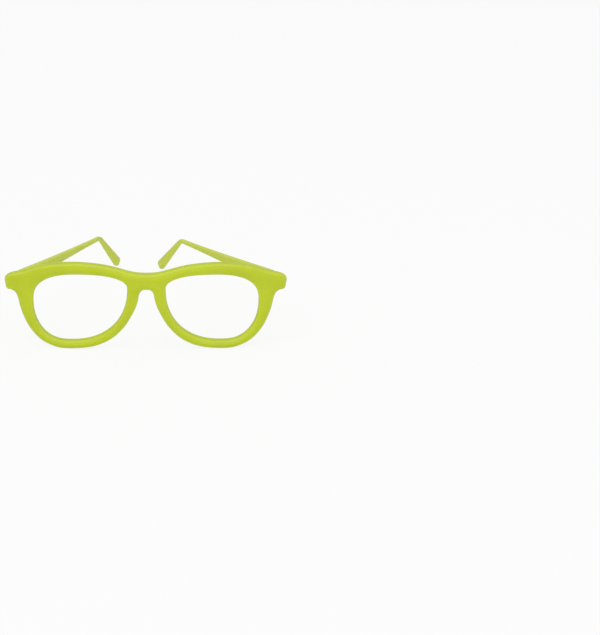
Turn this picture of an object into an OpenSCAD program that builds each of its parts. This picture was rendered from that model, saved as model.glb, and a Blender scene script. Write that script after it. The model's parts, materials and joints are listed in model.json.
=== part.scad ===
// Nerd glasses without lenses: a moulded front, two temples and two small screwed hinges.
// X runs across the face with the wearer's left at +X, Y runs back along the temples, Z is up.
// The glasses stand open on a table at Z = 0, on the lower rims and the temple tips.

/* [Openings] */
// Width of one lens opening
lens_w = 48.2; // [46:0.1:51]
// Height of one lens opening
lens_h = 38.2; // [36:0.1:41]
// Distance between the two openings across the nose
lens_gap = 19.7; // [18:0.1:22]

/* [Front] */
// Width of the rim under the opening
lower_rim_h = 4.5; // [3.8:0.1:6]
// Height of the brow over the opening
brow_h = 6.1; // [5.2:0.1:8]
// Reach of the end piece beyond the opening
end_w = 14.4; // [13.6:0.1:16]
// Depth from the brow's top down to the bridge's top
bridge_drop = 5.3; // [4:0.1:6.2]
// Height of the bridge
bridge_h = 8.6; // [6:0.1:9.5]
// Thickness of the rims
rim_t = 4.4; // [4:0.1:5.5]
// Thickness of the bridge
bridge_t = 4.8; // [4.4:0.1:7]
// Distance that the nose pads stand out behind the rims
pad_h = 3.4; // [1:0.1:4.5]
// Radius of the rounded edges on the face
face_edge_r = 1.3; // [0.8:0.1:1.5]
// Radius of the rounded edges at the back
back_edge_r = 0.8; // [0.4:0.1:1]
// Height of the face's crown over its edges
crown_h = 0.4; // [0.1:0.05:0.6]
// Radius of the wrap of the front round the face
wrap_r = 300; // [240:5:400]

/* [Temples] */
// Length of the straight arm from the butt to the ear bend
arm_l = 99; // [90:0.2:115]
// Length of the tip behind the ear bend
tip_l = 36.2; // [28:0.2:42]
// Height of the temple at the butt
butt_h = 8.4; // [7.8:0.1:9.6]
// Thickness of the temple at the butt
butt_t = 4.2; // [4:0.1:5.4]
// Height of the temple at the ear bend
neck_h = 2.2; // [2:0.1:4]
// Thickness of the temple at the ear bend
neck_t = 2.4; // [2:0.1:3.6]
// Height of the paddle at the tip
paddle_h = 5.4; // [4:0.1:7]
// Thickness of the paddle at the tip
paddle_t = 3.5; // [2.4:0.1:4]
// Slope of the arm below the front's normal, degrees
arm_slope = 10; // [6:0.5:12]
// Further drop of the tip at the ear bend, degrees
ear_drop = 36; // [25:0.5:42]
// Radius of the ear bend
ear_r = 6; // [4:0.5:12]
// Angle that the left temple is folded in at rest, degrees
left_toe = 28; // [10:1:40]
// Angle that the right temple is folded in at rest, degrees
right_toe = 23; // [10:1:40]

/* [Hinges] */
// Depth from the brow's top down to the middle of the hinge
hinge_drop = 14.2; // [12:0.1:15]
// Distance from the opening's side out to the hinge axis
hinge_out = 4.1; // [3.6:0.1:5]
// Radius of the hinge barrels
barrel_r = 1.3; // [1.2:0.05:1.4]
// Height of one knuckle
knuckle_h = 1.8; // [1.4:0.1:2]
// Gap between two knuckles
knuckle_gap = 0.1; // [0.05:0.01:0.15]
// Radius of the screw's shank
screw_r = 0.7; // [0.6:0.01:0.75]
// Radial clearance of the screw in its bores
screw_play = 0.03; // [0.02:0.01:0.06]
// Radius of the screw's head
head_r = 1.15; // [1:0.05:1.25]
// Height of the screw's head
head_h = 0.7; // [0.5:0.05:0.9]
// Thickness of the hinge leaves
leaf_t = 0.95; // [0.8:0.05:1.1]
// Length of the leaf that is set in the front
front_leaf_l = 4.9; // [4.2:0.1:5.2]
// Length of the leaf that is set in the temple
temple_leaf_l = 8; // [6:0.1:10]
// Gap between a barrel and the plastic round it
barrel_gap = 0.35; // [0.3:0.05:0.5]
// Gap between the temple's butt and the end piece
butt_gap = 0.3; // [0.25:0.05:0.5]
// Gap round a leaf in its pocket
leaf_gap = 0.05; // [0.02:0.01:0.1]

/* [Hidden] */
$fn = 48;

// Colours of the moulded plastic and of the metal
LIME = "#BCCB2E";
METAL = "#C9CBCC";

// Lines of the front that the outline hangs on: x across, v up from the lowest rim
x_in = lens_gap / 2;
x_out = x_in + lens_w;
x_end = x_out + end_w;
v_low = lower_rim_h;
v_top = v_low + lens_h;
v_brow = v_top + brow_h;
bridge_top = v_brow - bridge_drop;
bridge_low = bridge_top - bridge_h;
v_hinge = v_brow - hinge_drop;

// Where the opening's edge runs straight up or across, and how full its four corners are
eye_top_x = x_in + 0.41 * lens_w;
eye_low_x = x_in + 0.66 * lens_w;
eye_side_v = v_low + 0.55 * lens_h;
eye_nose_v = v_low + 0.81 * lens_h;
EYE_FULL = [2.65, 2.2, 2.27, 2.19];

// Rim below the end piece and round to the nose: [angle round the opening, width over the lowest rim's]
LOWER_RIM = [
    [354, 2.6], [342, 1.7], [326, 1], [306, 0.5], [288, 0], [270, 0],
    [250, 0.1], [232, 0.2], [216, 0.1], [204, 0.3], [195, 1], [188, 1.5]
];

// Bridge, brow and end piece, as [angle round the opening, x, v]
BROW = [
    [155, 0, bridge_top],
    [146, x_in - 4.9, bridge_top + 0.3],
    [137, x_in + 0.1, bridge_top + 1.5],
    [126, x_in + 5.6, v_brow - 2.2],
    [112, x_in + 12.1, v_brow - 0.8],
    [96, x_in + 21.1, v_brow],
    [78, x_in + 29.1, v_brow - 0.1],
    [62, x_out - 11, v_brow - 1.2],
    [48, x_out - 2.7, v_brow - 3.3],
    [35, x_end - 8.9, v_hinge + 7.6],
    [26, x_end - 2.9, v_hinge + 5.8],
    [20, x_end, v_hinge + 3.2],
    [15, x_end - 0.2, v_hinge - 0.3],
    [11, x_end - 0.9, v_hinge - 2.8],
    [7, x_end - 3.8, v_hinge - 3.4],
    [2, x_end - 6, v_hinge - 5.9]
];

// Top of the nose notch
NOTCH = [
    [-176, x_in - 6.2, bridge_low - 2.5],
    [-181, x_in - 7.7, bridge_low - 0.3],
    [-186, 0, bridge_low]
];

// Smooth curves
function blend(t) = t <= 0 ? 0 : t >= 1 ? 1 : t * t * (3 - 2 * t);
function spline(p, q, r, s, t) =
    0.5 * (2 * q + (r - p) * t + (2 * p - 5 * q + 4 * r - s) * t * t + (3 * q - p - 3 * r + s) * t * t * t);
function turn(d) = [d[1], -d[0]] / norm(d);
function power(c, full) = sign(c) * pow(abs(c), 2 / full);

// A point on the opening's edge, at an angle counted from the temple side over the top to the nose
function eye(a) =
    let (w = (a % 360 + 360) % 360, q = floor(w / 90))
    let (cx = q < 2 ? eye_top_x : eye_low_x, cv = q == 0 || q == 3 ? eye_side_v : eye_nose_v)
    let (rx = q == 0 || q == 3 ? x_out - cx : cx - x_in, rv = q < 2 ? v_top - cv : cv - v_low)
    [cx + rx * power(cos(w), EYE_FULL[q]), cv + rv * power(sin(w), EYE_FULL[q])];
function eye_normal(a) = turn(eye(a + 0.5) - eye(a - 0.5));
function rim_point(a, w) = eye(a) + eye_normal(a) * w;

// Stations round half of the front, from the bridge's top by the brow and the lower rim to the notch
ROUTE = concat(
    BROW,
    [for (r = LOWER_RIM) let (p = rim_point(r[0], lower_rim_h + r[1])) [r[0] - 360, p[0], p[1]]],
    NOTCH
);
ROUTE_STEPS = 3;
route_end = len(ROUTE) - 1;
function mirrored(r, a) = [2 * a - r[0], -r[1], r[2]];
function route(i) =
    i < 0 ? mirrored(ROUTE[1], ROUTE[0][0]) :
    i > route_end ? mirrored(ROUTE[route_end - 1], ROUTE[route_end][0]) : ROUTE[i];
STATIONS = concat(
    [for (i = [0:route_end - 1], k = [0:ROUTE_STEPS - 1])
        spline(route(i - 1), route(i), route(i + 1), route(i + 2), k / ROUTE_STEPS)],
    [ROUTE[route_end]]
);
rim_n = len(STATIONS);

// Stations across the middle of the bridge, whose outer ends lie on the plane X = 0
BRIDGE_N = 5;
BRIDGE = [for (k = [1:BRIDGE_N]) let (t = k / (BRIDGE_N + 1))
    [ROUTE[route_end][0] * (1 - t) + (ROUTE[0][0] - 360) * t, 0,
     (bridge_low + face_edge_r) * (1 - t) + (bridge_top - face_edge_r) * t]];
SECTIONS = concat(STATIONS, BRIDGE);
section_n = len(SECTIONS);

// Directions from the outline into the plastic
function station(i) =
    i < 0 ? mirrored(STATIONS[-i], 0) :
    i >= rim_n ? mirrored(STATIONS[2 * rim_n - 2 - i], 0) : STATIONS[i];
function outline(i) = [station(i)[1], station(i)[2]];
function inward(i) = turn(outline(i + 2) - outline(i - 2));

// The front's bend, and the depth of its back face
function bend(x) = wrap_r - sqrt(wrap_r * wrap_r - x * x);
function bend_angle(x) = asin(x / wrap_r);
BRIDGE_FADE = 1.2;
function back_depth(x) = rim_t + (bridge_t - rim_t) * blend(BRIDGE_FADE - abs(x) / x_in);

// Nose pad: it rises over a stretch that starts above the notch's top, and ends below the eye's middle
pad_start = 1;
pad_rise = 6;
pad_reach = 13;
pad_fall = 9;
function pad(p) =
    p[0] > eye_top_x ? 0 :
    pad_h * blend((bridge_low + pad_start - p[1]) / pad_rise)
          * blend((p[1] - eye_side_v + pad_reach) / pad_fall);
function plate(p, depth) = [p[0], bend(p[0]) + depth, p[1]];

// Rows of one section, from the outline over the face to the opening, then back behind it
EDGE_STEPS = 3;
function edge_in(r, k) = r * (1 - cos(90 * k / EDGE_STEPS));
function edge_up(r, k) = r * (1 - sin(90 * k / EDGE_STEPS));
function outer_at(i, r, k) =
    i < rim_n ? outline(i) + inward(i) * edge_in(r, k) : [0, SECTIONS[i][2]];
function inner_at(i, r, k) = eye(SECTIONS[i][0]) + eye_normal(SECTIONS[i][0]) * edge_in(r, k);
function face_row(i) = concat(
    [for (k = [0:EDGE_STEPS]) plate(outer_at(i, face_edge_r, k), crown_h + edge_up(face_edge_r, k))],
    [plate((outer_at(i, face_edge_r, EDGE_STEPS) + inner_at(i, face_edge_r, EDGE_STEPS)) / 2, 0)],
    [for (k = [EDGE_STEPS:-1:0]) plate(inner_at(i, face_edge_r, k), crown_h + edge_up(face_edge_r, k))]
);
function back_row(i) =
    let (p = outer_at(i, back_edge_r, EDGE_STEPS), q = inner_at(i, back_edge_r, EDGE_STEPS))
    let (m = (p + q) / 2, lift = i < rim_n ? pad(outline(i)) : 0)
    concat(
        [for (k = [0:EDGE_STEPS]) let (s = outer_at(i, back_edge_r, k))
            plate(s, back_depth(s[0]) + lift - edge_up(back_edge_r, k))],
        [plate(m, back_depth(m[0]) + 0.4 * lift)],
        [for (k = [EDGE_STEPS:-1:0]) let (s = inner_at(i, back_edge_r, k))
            plate(s, back_depth(s[0]) - edge_up(back_edge_r, k))]
    );
ROWS = 2 * EDGE_STEPS + 3;

// Points are numbered side by side: face and back of each section, then the same mirrored
HALF_POINTS = [for (i = [0:section_n - 1]) each concat(face_row(i), back_row(i))];
half_n = len(HALF_POINTS);
function on_middle(n) = abs(HALF_POINTS[n][0]) < 0.0001;
function face_id(i, k) = (i % section_n) * 2 * ROWS + k;
function back_id(i, k) = face_id(i, k) + ROWS;
function first_row(i) = i < rim_n - 1 ? 0 : EDGE_STEPS;
HALF_FACES = [for (i = [0:section_n - 1]) each concat(
    [for (k = [first_row(i):ROWS - 2])
        [face_id(i, k), face_id(i + 1, k), face_id(i + 1, k + 1), face_id(i, k + 1)]],
    [for (k = [first_row(i):ROWS - 2])
        [back_id(i, k), back_id(i, k + 1), back_id(i + 1, k + 1), back_id(i + 1, k)]],
    i < rim_n - 1 ? [[face_id(i, 0), back_id(i, 0), back_id(i + 1, 0), face_id(i + 1, 0)]] : [],
    [[face_id(i, ROWS - 1), face_id(i + 1, ROWS - 1), back_id(i + 1, ROWS - 1), back_id(i, ROWS - 1)]]
)];
function other_side(n) = on_middle(n) ? n : n + half_n;
function split(f) = [[f[0], f[1], f[2]], [f[0], f[2], f[3]]];
PLATE_POINTS = concat(HALF_POINTS, [for (p = HALF_POINTS) [-p[0], p[1], p[2]]]);
PLATE_FACES = concat(
    [for (f = HALF_FACES) each split(f)],
    [for (f = HALF_FACES) each [for (t = split(f)) [other_side(t[2]), other_side(t[1]), other_side(t[0])]]]
);

// A tube through rings of points, with a flat cap on each end
module tube(rings) {
    n = len(rings[0]);
    last = len(rings) - 1;
    polyhedron(
        points = [for (r = rings) each r],
        faces = concat(
            [[for (k = [n - 1:-1:0]) k]],
            [for (i = [0:last - 1], k = [0:n - 1]) each let (m = (k + 1) % n)
                [[i * n + k, i * n + m, (i + 1) * n + m], [i * n + k, (i + 1) * n + m, (i + 1) * n + k]]],
            [[for (k = [0:n - 1]) last * n + k]]
        )
    );
}

// A rounded oblong as [across, up] points
function oblong(w, h, full, n) =
    [for (k = [0:n - 1]) let (a = 360 * (k + 0.5) / n)
        [w / 2 * power(cos(a), full), h / 2 * power(sin(a), full)]];

// Places of the hinge, counted from its axis, and of the temple beside it
hinge_h = 3 * knuckle_h + 2 * knuckle_gap;
notch_r = barrel_r + barrel_gap;
axis_x = x_out + hinge_out;
inner_x = barrel_r - leaf_t;
temple_x = inner_x + butt_t / 2;
lug_out = axis_x + inner_x + butt_t;
lug_wall = 0.6;
lug_in = axis_x - barrel_r - lug_wall;
lug_depth = 8;
butt_y = bend(lug_out) + lug_depth;
axis_y = butt_y + notch_r;

// Centre line of a temple as [back, up] from the hinge axis, and its slope
paddle_r = paddle_h / 2;
ear_tangent = ear_r * tan(ear_drop / 2);
ear_len = ear_r * ear_drop * PI / 180;
arm_run = arm_l - ear_tangent;
tip_run = tip_l - ear_tangent - paddle_r;
temple_len = arm_run + ear_len + tip_run;
function along(a) = [cos(a), -sin(a)];
function slope(s) = arm_slope + min(max((s - arm_run) / ear_r * 180 / PI, 0), ear_drop);
function temple_path(s) =
    let (start = [butt_gap - notch_r, 0], curve = start + along(arm_slope) * arm_run)
    let (centre = curve + along(arm_slope + 90) * ear_r)
    s <= arm_run ? start + along(arm_slope) * s :
    centre - along(slope(s) + 90) * ear_r + along(slope(s)) * max(s - arm_run - ear_len, 0);

// The front leans until its lower rims and a temple tip stand on the same table
low_x = eye(270)[0];
low_centre = [bend(low_x) + crown_h + face_edge_r, face_edge_r];
function tip_centre(toe) =
    let (tip = temple_path(temple_len))
    [axis_y + temple_x * sin(toe) + tip[0] * cos(toe), v_hinge + tip[1]];
function lean_on(toe) =
    let (d = tip_centre(toe) - low_centre)
    acos((face_edge_r - paddle_r) / norm(d)) - atan2(d[0], -d[1]);
lean = max(lean_on(left_toe), lean_on(right_toe));
function leaned(p) = [p[0] * cos(lean) - p[1] * sin(lean), p[0] * sin(lean) + p[1] * cos(lean)];
lift = face_edge_r - leaned(low_centre)[1];
front_y = min([for (p = HALF_POINTS) leaned([p[1], p[2]])[0]]);
rear_y = paddle_r + max([for (toe = [left_toe, right_toe]) leaned(tip_centre(toe))[0]]);
module stand() {
    translate([0, -(front_y + rear_y) / 2, lift]) rotate([lean, 0, 0]) children();
}

// Places on one side of the front: side is 1 on the left and -1 on the right
module on_side(side) {
    stand() mirror([side < 0 ? 1 : 0, 0, 0]) children();
}
module at_axis(side) {
    on_side(side) translate([axis_x, axis_y, v_hinge]) children();
}
module at_temple(side) {
    at_axis(side) rotate([0, 0, side < 0 ? right_toe : left_toe]) children();
}

// End piece, from inside the plate back to the butt plane
root_w = 12.4;
root_h = 7.4;
root_x = x_end - 6.9;
root_rise = 1;
ROOT_DEPTH = 0.6;
LUG_STEPS = 4;
LUG_FULL = 5;
LUG_SIDES = 32;
module end_piece() {
    tube([for (i = [0:LUG_STEPS])
        let (t = i / LUG_STEPS, e = blend(t), a = bend_angle(root_x) * (1 - e))
        let (w = root_w * (1 - e) + (lug_out - lug_in) * e, h = root_h * (1 - e) + butt_h * e)
        let (c = [root_x * (1 - e) + (lug_in + lug_out) / 2 * e,
                  (bend(root_x) + ROOT_DEPTH * rim_t) * (1 - t) + butt_y * t, v_hinge + root_rise * (1 - e)])
        [for (p = oblong(w, h, LUG_FULL, LUG_SIDES)) c + [p[0] * cos(a), p[0] * sin(a), p[1]]]]);
}

// Tangs behind the leaves hold the hinges in the plastic
tang_w = 2;
tang_h = 3;
tang_l = 1.5;
leaf_margin = 0.5;
temple_leaf_h = hinge_h - 2 * leaf_margin;
module front_leaf(gap) {
    translate([-barrel_r - gap, -notch_r - leaf_t, -hinge_h / 2 - gap])
        cube([front_leaf_l + 2 * gap, leaf_t + gap, hinge_h + 2 * gap]);
    translate([inner_x - gap, -notch_r - leaf_t - tang_l - gap, -tang_h / 2 - gap])
        cube([tang_w + 2 * gap, tang_l + 2 * gap, tang_h + 2 * gap]);
}
module leaf_neck(gap) {
    translate([inner_x - gap, 0, -knuckle_h / 2 - gap]) cube([leaf_t + gap, notch_r, knuckle_h + 2 * gap]);
}
module temple_leaf(gap) {
    leaf_neck(gap);
    translate([inner_x - gap, notch_r, -temple_leaf_h / 2 - gap])
        cube([leaf_t + gap, temple_leaf_l - notch_r + gap, temple_leaf_h + 2 * gap]);
    translate([barrel_r - gap, temple_leaf_l / 2 - gap, -tang_h / 2 - gap])
        cube([tang_l + 2 * gap, tang_w + 2 * gap, tang_h + 2 * gap]);
}

module front_frame() {
    color(LIME) difference() {
        union() {
            stand() polyhedron(points = PLATE_POINTS, faces = PLATE_FACES);
            for (side = [-1, 1]) on_side(side) end_piece();
        }
        for (side = [-1, 1]) at_axis(side) front_leaf(leaf_gap);
    }
}

// Height and thickness of a temple, at a distance along its centre line
TEMPLE_SIDES = 20;
BUTT_FULL = 4.5;
TIP_FULL = 2.8;
ARM_TAPER = 1.4;
TIP_TAPER = 1;
function arm_part(s) = min(s / (arm_run + ear_len / 2), 1);
function tip_part(s) = max((s - arm_run - ear_len / 2) / (tip_run + ear_len / 2), 0);
function taper(s, butt, neck, paddle) =
    neck + (butt - neck) * pow(1 - arm_part(s), ARM_TAPER) + (paddle - neck) * pow(tip_part(s), TIP_TAPER);
function temple_ring(s, past, shrink) =
    let (c = temple_path(s) + along(slope(s)) * past, a = slope(s) * blend(s / butt_h))
    let (w = taper(s, butt_t, neck_t, paddle_t) * shrink, h = taper(s, butt_h, neck_h, paddle_h) * shrink)
    [for (p = oblong(w, h, BUTT_FULL + (TIP_FULL - BUTT_FULL) * arm_part(s), TEMPLE_SIDES))
        [temple_x + p[0], c[0] + p[1] * sin(a), c[1] + p[1] * cos(a)]];
ARM_RINGS = 12;
EAR_RINGS = 6;
TIP_RINGS = 5;
END_RINGS = 6;
END_TURN = 86;
TEMPLE_RINGS = concat(
    [for (i = [0:ARM_RINGS - 1]) temple_ring(arm_run * i / ARM_RINGS, 0, 1)],
    [for (i = [0:EAR_RINGS]) temple_ring(arm_run + ear_len * i / EAR_RINGS, 0, 1)],
    [for (i = [1:TIP_RINGS]) temple_ring(arm_run + ear_len + tip_run * i / TIP_RINGS, 0, 1)],
    [for (i = [1:END_RINGS]) let (a = END_TURN * i / END_RINGS)
        temple_ring(temple_len, paddle_r * sin(a), cos(a))]
);
module temple(side) {
    color(LIME) at_temple(side) difference() {
        tube(TEMPLE_RINGS);
        cylinder(r = notch_r, h = 2 * butt_h, center = true);
        temple_leaf(leaf_gap);
    }
}

module hinge_bore() {
    cylinder(r = screw_r + screw_play, h = 2 * hinge_h, center = true);
}
module knuckle(z) {
    translate([0, 0, z]) cylinder(r = barrel_r, h = knuckle_h, center = true);
}

// Necks join the outer knuckles to the front's leaf
neck_x = 0.4;
module front_hinge(side) {
    color(METAL) at_axis(side) difference() {
        union() {
            front_leaf(0);
            for (z = [-1, 1] * (knuckle_h + knuckle_gap)) {
                knuckle(z);
                translate([-barrel_r, -notch_r, z - knuckle_h / 2])
                    cube([barrel_r + neck_x, notch_r, knuckle_h]);
            }
        }
        hinge_bore();
    }
}
module temple_hinge(side) {
    color(METAL) at_temple(side) difference() {
        union() {
            knuckle(0);
            temple_leaf(0);
        }
        hinge_bore();
    }
}

// Slot across the screw's head
slot_w = 0.3;
slot_depth = 0.35;
module hinge_screw(side) {
    color(METAL) at_axis(side) difference() {
        union() {
            cylinder(r = screw_r, h = hinge_h, center = true);
            translate([0, 0, hinge_h / 2]) cylinder(r = head_r, h = head_h);
        }
        translate([-head_r, -slot_w / 2, hinge_h / 2 + head_h - slot_depth])
            cube([2 * head_r, slot_w, head_h]);
    }
}

front_frame();
temple(1);  // left_temple
temple(-1);  // right_temple
front_hinge(1);  // left_front_hinge
front_hinge(-1);  // right_front_hinge
temple_hinge(1);  // left_temple_hinge
temple_hinge(-1);  // right_temple_hinge
hinge_screw(1);  // left_hinge_screw
hinge_screw(-1);  // right_hinge_screw
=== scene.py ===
"""Nerd glasses with no lenses: the looks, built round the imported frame.

The front is one moulding. Half of it is swept in rings round the lens opening, grows its end piece back to
the hinge with a small fillet at the root, and is mirrored at the bridge. Each temple is one ring drawn out
along the arm, the ear bend and the tip. The hinges and their screws are the frame's own solids, cleaned and
with broken edges, and the temples' leaves have their far corners rounded.

Lengths are in millimetres until a mesh is placed. In the front's own frame x runs to the wearer's left, y
runs back towards the ears and z runs up from the lowest rim, before the front leans on the table.
"""

import json
import logging
import math
from dataclasses import dataclass
from enum import Enum
from typing import Any, Sequence

import bmesh
import bpy
from bmesh.types import BMEdge, BMesh, BMLayerItem, BMVert
from bpy.types import Material, Node, NodeSocket, NodeTree, Object
from mathutils import Matrix, Vector


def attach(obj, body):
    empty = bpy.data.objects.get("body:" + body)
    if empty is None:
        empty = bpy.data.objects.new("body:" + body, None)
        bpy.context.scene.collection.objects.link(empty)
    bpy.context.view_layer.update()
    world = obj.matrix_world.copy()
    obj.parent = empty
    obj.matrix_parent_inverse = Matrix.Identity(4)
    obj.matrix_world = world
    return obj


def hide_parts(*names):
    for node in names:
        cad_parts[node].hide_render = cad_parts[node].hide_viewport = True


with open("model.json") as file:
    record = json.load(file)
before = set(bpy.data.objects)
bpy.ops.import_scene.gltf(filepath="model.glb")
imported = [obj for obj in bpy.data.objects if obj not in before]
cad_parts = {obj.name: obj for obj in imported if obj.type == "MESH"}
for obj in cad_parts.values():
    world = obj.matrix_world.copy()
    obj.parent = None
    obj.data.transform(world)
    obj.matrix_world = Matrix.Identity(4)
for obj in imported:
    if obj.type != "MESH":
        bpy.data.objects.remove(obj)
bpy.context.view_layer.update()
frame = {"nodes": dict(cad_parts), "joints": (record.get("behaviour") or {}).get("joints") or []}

LOG = logging.getLogger("nerd_glasses")
MM = 0.001
# Vertex attribute for how much an edge is painted paler: partly worn by handling, partly a painted highlight
# on the rounding
EDGE_WEAR_AND_HIGHLIGHT = "edge_wear_and_highlight"
WHITE = (1.0, 1.0, 1.0, 1.0)
# Vertices of a half piece that are nearer than this to the middle plane, in millimetres, lie on it
ON_SEAM = 0.001
# Numbers of the colour sockets of a Mix node: its two inputs and its output
MIX_A, MIX_B, MIX_COLOUR = 6, 7, 2


def blend(share: float) -> float:
    """Gives a smooth step that is 0 below 0 and 1 above 1."""
    t = min(max(share, 0.0), 1.0)
    return t * t * (3 - 2 * t)


def spline(p: Vector, q: Vector, r: Vector, s: Vector, t: float) -> Vector:
    """Gives the point at share t from q to r on the smooth curve through p, q, r and s."""
    straight = 2 * q + (r - p) * t
    return 0.5 * (straight + (2 * p - 5 * q + 4 * r - s) * t**2 + (3 * q - p - 3 * r + s) * t**3)


def even(start: float, end: float, steps: int) -> list[float]:
    """Gives the values from start to end in even steps, with both ends."""
    return [start + (end - start) * k / steps for k in range(steps + 1)]


def power(value: float, full: float) -> float:
    """Gives a cosine or sine drawn out to the corner of a rounded oblong that is as full as that exponent."""
    return math.copysign(abs(value) ** (2 / full), value)


def right_of(direction: Vector) -> Vector:
    """Gives the unit vector a quarter turn clockwise of a flat direction."""
    return Vector((direction.y, -direction.x)).normalized()


def oblong(width: float, height: float, full: float, angle: float) -> Vector:
    """Gives the point of a rounded oblong in a direction.

    Args:
        width: Size across, in millimetres.
        height: Size upwards, in millimetres.
        full: Exponent of its corners: 2 is an ellipse, and larger values come nearer to a rectangle.
        angle: Direction in radians, from the side over the top.

    Returns:
        The point as (across, up) from the middle.
    """
    return Vector((width / 2 * power(math.cos(angle), full), height / 2 * power(math.sin(angle), full)))


def ring_edges(bm: BMesh, ring: Sequence[BMVert]) -> list[BMEdge]:
    """Gives the edges that join a closed ring of vertices, in order."""
    return [bm.edges.get((a, b)) for a, b in zip(ring, [*ring[1:], ring[0]])]


def start_ring(bm: BMesh, places: Sequence[Vector]) -> list[BMVert]:
    """Starts a mesh from a circle whose vertices are moved to their places.

    Args:
        bm: The empty mesh.
        places: Where each vertex of the ring goes, in order.

    Returns:
        The ring's vertices in order.
    """
    ring = bmesh.ops.create_circle(bm, cap_ends=False, radius=1.0, segments=len(places))["verts"]
    for vert, place in zip(ring, places):
        vert.co = place
    return list(ring)


def draw_out(bm: BMesh, ring: Sequence[BMVert], places: Sequence[Vector]) -> list[BMVert]:
    """Extrudes a closed ring and moves the new ring to its places.

    Args:
        bm: The mesh.
        ring: The ring's vertices in order.
        places: Where each vertex of the new ring goes, in the same order.

    Returns:
        The new ring's vertices in order.
    """
    made = bmesh.ops.extrude_edge_only(bm, edges=ring_edges(bm, ring))["geom"]
    new = {item for item in made if isinstance(item, BMVert)}
    grown = [next(e.other_vert(v) for e in v.link_edges if e.other_vert(v) in new) for v in ring]
    for vert, place in zip(grown, places):
        vert.co = place
    return grown


def wear_and_highlight_at(turn: float) -> float:
    """Gives how much a rounded edge is painted paler at a turn of its rounding, most at its middle: partly
    worn, partly a painted highlight.
    """
    return math.sin(2 * turn)


def mark(ring: Sequence[BMVert], layer: BMLayerItem, share: float) -> None:
    """Writes how much the vertices of a ring are painted paler, partly worn and partly as a painted
    highlight.
    """
    for vert in ring:
        vert[layer] = share


def new_object(name: str, data: bpy.types.ID) -> Object:
    """Makes an object of a mesh, a lamp or a camera and adds it to the scene.

    Args:
        name: The object's name.
        data: What it shows.

    Returns:
        The new object, which sits at the origin.
    """
    made = bpy.data.objects.new(name, data)
    bpy.context.scene.collection.objects.link(made)
    return made


def finish_mesh(bm: BMesh, name: str, place: Matrix, sharp_deg: float) -> Object:
    """Places a mesh in the frame, turns its faces outwards and makes it an object.

    Args:
        bm: The mesh in its own frame, in millimetres. It is freed.
        name: Name of the object.
        place: Matrix from the mesh's frame to the row frame, in metres.
        sharp_deg: Edges that turn by more than this stay sharp, in degrees.

    Returns:
        The new object, which sits at the origin.
    """
    bm.transform(place)
    bm.normal_update()
    bmesh.ops.recalc_face_normals(bm, faces=bm.faces)
    mesh = bpy.data.meshes.new(name)
    bm.to_mesh(mesh)
    bm.free()
    mesh.shade_smooth()
    mesh.set_sharp_from_angle(angle=math.radians(sharp_deg))
    return new_object(name, mesh)


def linear(colour: str) -> tuple[float, float, float, float]:
    """Turns an sRGB hex colour to linear red, green, blue and alpha, by the curve that defines sRGB."""
    parts = [int(colour[i : i + 2], 16) / 255 for i in (1, 3, 5)]
    return (*[c / 12.92 if c <= 0.04045 else ((c + 0.055) / 1.055) ** 2.4 for c in parts], 1.0)


def cells(feature_mm: float) -> float:
    """Gives the scale at which a texture's features are that many millimetres across."""
    return 1 / (feature_mm * MM)


def add_node(tree: NodeTree, kind: str, inputs: dict[str | int, Any], **settings: Any) -> Node:
    """Adds a node with its settings and links.

    Args:
        tree: The material's or world's node tree.
        kind: The node's type.
        inputs: A value, or a socket to link from, for each input by its name or number.
        **settings: The node's own properties.

    Returns:
        The new node.
    """
    node = tree.nodes.new(kind)
    for name, value in settings.items():
        setattr(node, name, value)
    for name, value in inputs.items():
        if isinstance(value, NodeSocket):
            tree.links.new(value, node.inputs[name])
        else:
            node.inputs[name].default_value = value
    return node


def new_material(name: str) -> tuple[Material, NodeTree]:
    """Makes an empty node material.

    Args:
        name: The material's name.

    Returns:
        The material and its node tree.
    """
    material = bpy.data.materials.new(name)
    material.use_nodes = True
    material.node_tree.nodes.clear()
    return material, material.node_tree


class Side(Enum):
    """A side of the face, as the sign of its x."""

    LEFT = 1
    RIGHT = -1

    @property
    def label(self) -> str:
        """The side's name in the frame's node names."""
        return self.name.lower()

    @property
    def mirror(self) -> Matrix:
        """The matrix that takes a left piece to this side."""
        return Matrix.Diagonal((self.value, 1, 1, 1))


@dataclass(frozen=True, kw_only=True)
class Finish:
    """A satin surface, whose gloss varies a little with one pattern over the faint relief of another."""

    name: str
    colour: str
    roughness: float
    gloss_spread: float
    gloss_span: tuple[float, float] = (0.3, 0.7)
    relief_mm: float

    def end_in_shader(
        self, tree: NodeTree, gloss: NodeSocket, relief: NodeSocket, inputs: dict[str, Any]
    ) -> None:
        """Adds the shader and the output.

        Args:
            tree: The material's node tree.
            gloss: The pattern that the gloss follows.
            relief: The pattern that the relief follows.
            inputs: The shader's other inputs.
        """
        low, high = self.gloss_span
        least, most = self.roughness - self.gloss_spread, self.roughness + self.gloss_spread
        ranges = {"Value": gloss, "From Min": low, "From Max": high, "To Min": least, "To Max": most}
        roughness = add_node(tree, "ShaderNodeMapRange", ranges)
        bump = add_node(
            tree, "ShaderNodeBump", {"Height": relief, "Strength": 1.0, "Distance": self.relief_mm * MM}
        )
        shader = add_node(
            tree,
            "ShaderNodeBsdfPrincipled",
            {"Roughness": roughness.outputs["Result"], "Normal": bump.outputs["Normal"], **inputs},
        )
        add_node(tree, "ShaderNodeOutputMaterial", {"Surface": shader.outputs["BSDF"]})


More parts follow.
